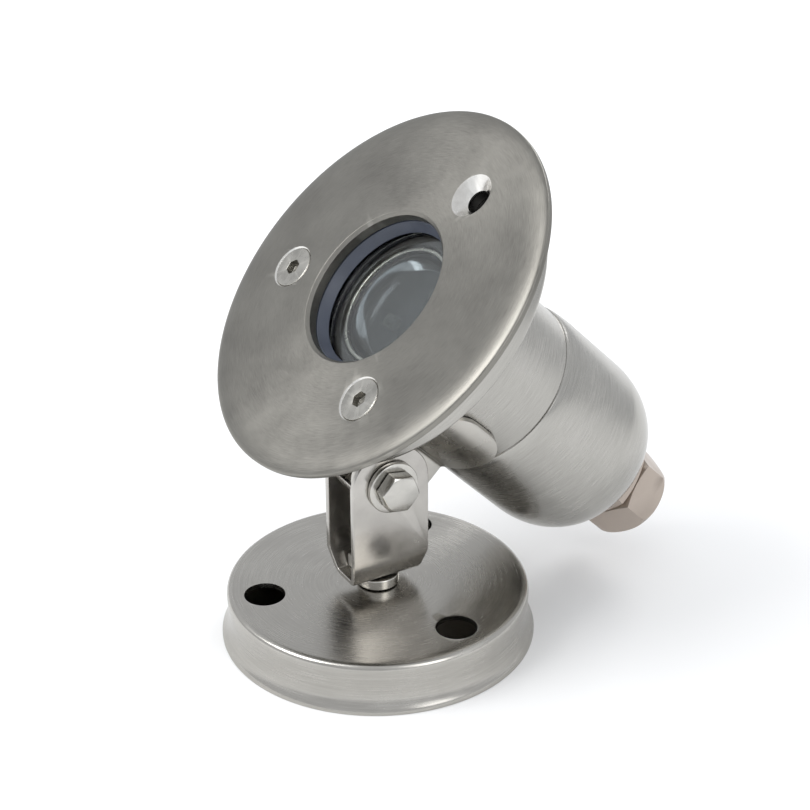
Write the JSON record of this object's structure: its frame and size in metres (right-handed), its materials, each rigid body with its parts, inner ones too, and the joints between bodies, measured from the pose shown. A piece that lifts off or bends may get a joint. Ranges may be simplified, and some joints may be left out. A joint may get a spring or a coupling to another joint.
{
  "type": "underwater pool light",
  "caption": "Stainless underwater spot light: a wide round face ring and sealed can with a rear cable gland, tilting on a bracket that swivels on a round foot.",
  "frame": {"origin": "centre of the foot's underside, on the surface the light is screwed to", "axes": "+Z out of that surface, +X along the tilt bolt towards its head, -Y the way the light shines at rest"},
  "size_m": [0.11, 0.1388, 0.1432],
  "materials": {
    "satin_steel": "satin, fine brushing",
    "brushed_face": "turned, circular grain",
    "bright_steel": "bright, machined",
    "polished_steel": "polished sheet",
    "aluminium": "plain, machined",
    "nickel_brass": "nickel plated, satin",
    "gasket_rubber": "matt, blue grey",
    "black_rubber": "matt",
    "black_plastic": "matt",
    "clear_glass": "clear",
    "white_board": "white solder mask",
    "green_board": "green solder mask",
    "led_amber": "phosphor coated",
    "red_insulation": "matt"
  },
  "bodies": {
    "foot": {"foot_cup": "satin_steel", "foot_plate": "satin_steel", "swivel_spacer": "bright_steel", "swivel_washer": "bright_steel"},
    "bracket": {"bracket": "polished_steel", "clamp_nut": "satin_steel", "swivel_bolt": "bright_steel", "swivel_spring_washer": "bright_steel", "tilt_bolt": "bright_steel", "tilt_nut": "bright_steel", "tilt_spring_washer": "bright_steel", "tilt_washer_far": "bright_steel", "tilt_washer_near": "bright_steel"},
    "head": {"saddle": "satin_steel", "pivot_sleeve": "bright_steel", "face_ring": "brushed_face", "face_screw_1": "bright_steel", "face_screw_2": "bright_steel", "weld_nut_1": "satin_steel", "weld_nut_2": "satin_steel", "weld_nut_3": "satin_steel", "housing": "satin_steel", "rear_cup": "satin_steel", "front_gasket": "gasket_rubber", "glass": "clear_glass", "rear_seal": "black_rubber", "lens_holder": "black_plastic", "lens_bezel": "bright_steel", "lens": "clear_glass", "led_board": "white_board", "led_1": "led_amber", "led_2": "led_amber", "led_3": "led_amber", "heat_sink": "aluminium", "driver_board": "green_board", "standoff_1": "nickel_brass", "standoff_2": "nickel_brass", "driver_inductor": "black_plastic", "driver_capacitor": "black_plastic", "led_lead_red": "red_insulation", "led_lead_black": "black_rubber", "gland_washer": "black_rubber", "gland_body": "nickel_brass", "gland_lock_nut": "nickel_brass", "gland_seal": "black_rubber", "gland_dome_nut": "nickel_brass"}
  },
  "joints": [
    {"name": "base_swivel", "type": "hinge", "parent": "foot", "child": "bracket", "pos_m": [0, 0, 0.0146], "axis": [0, 0, 1], "range_deg": [-180, 180]},
    {"name": "head_tilt", "type": "hinge", "parent": "bracket", "child": "head", "pos_m": [0, 0, 0.0494], "axis": [1, 0, 0], "range_deg": [-6, 76]}
  ]
}
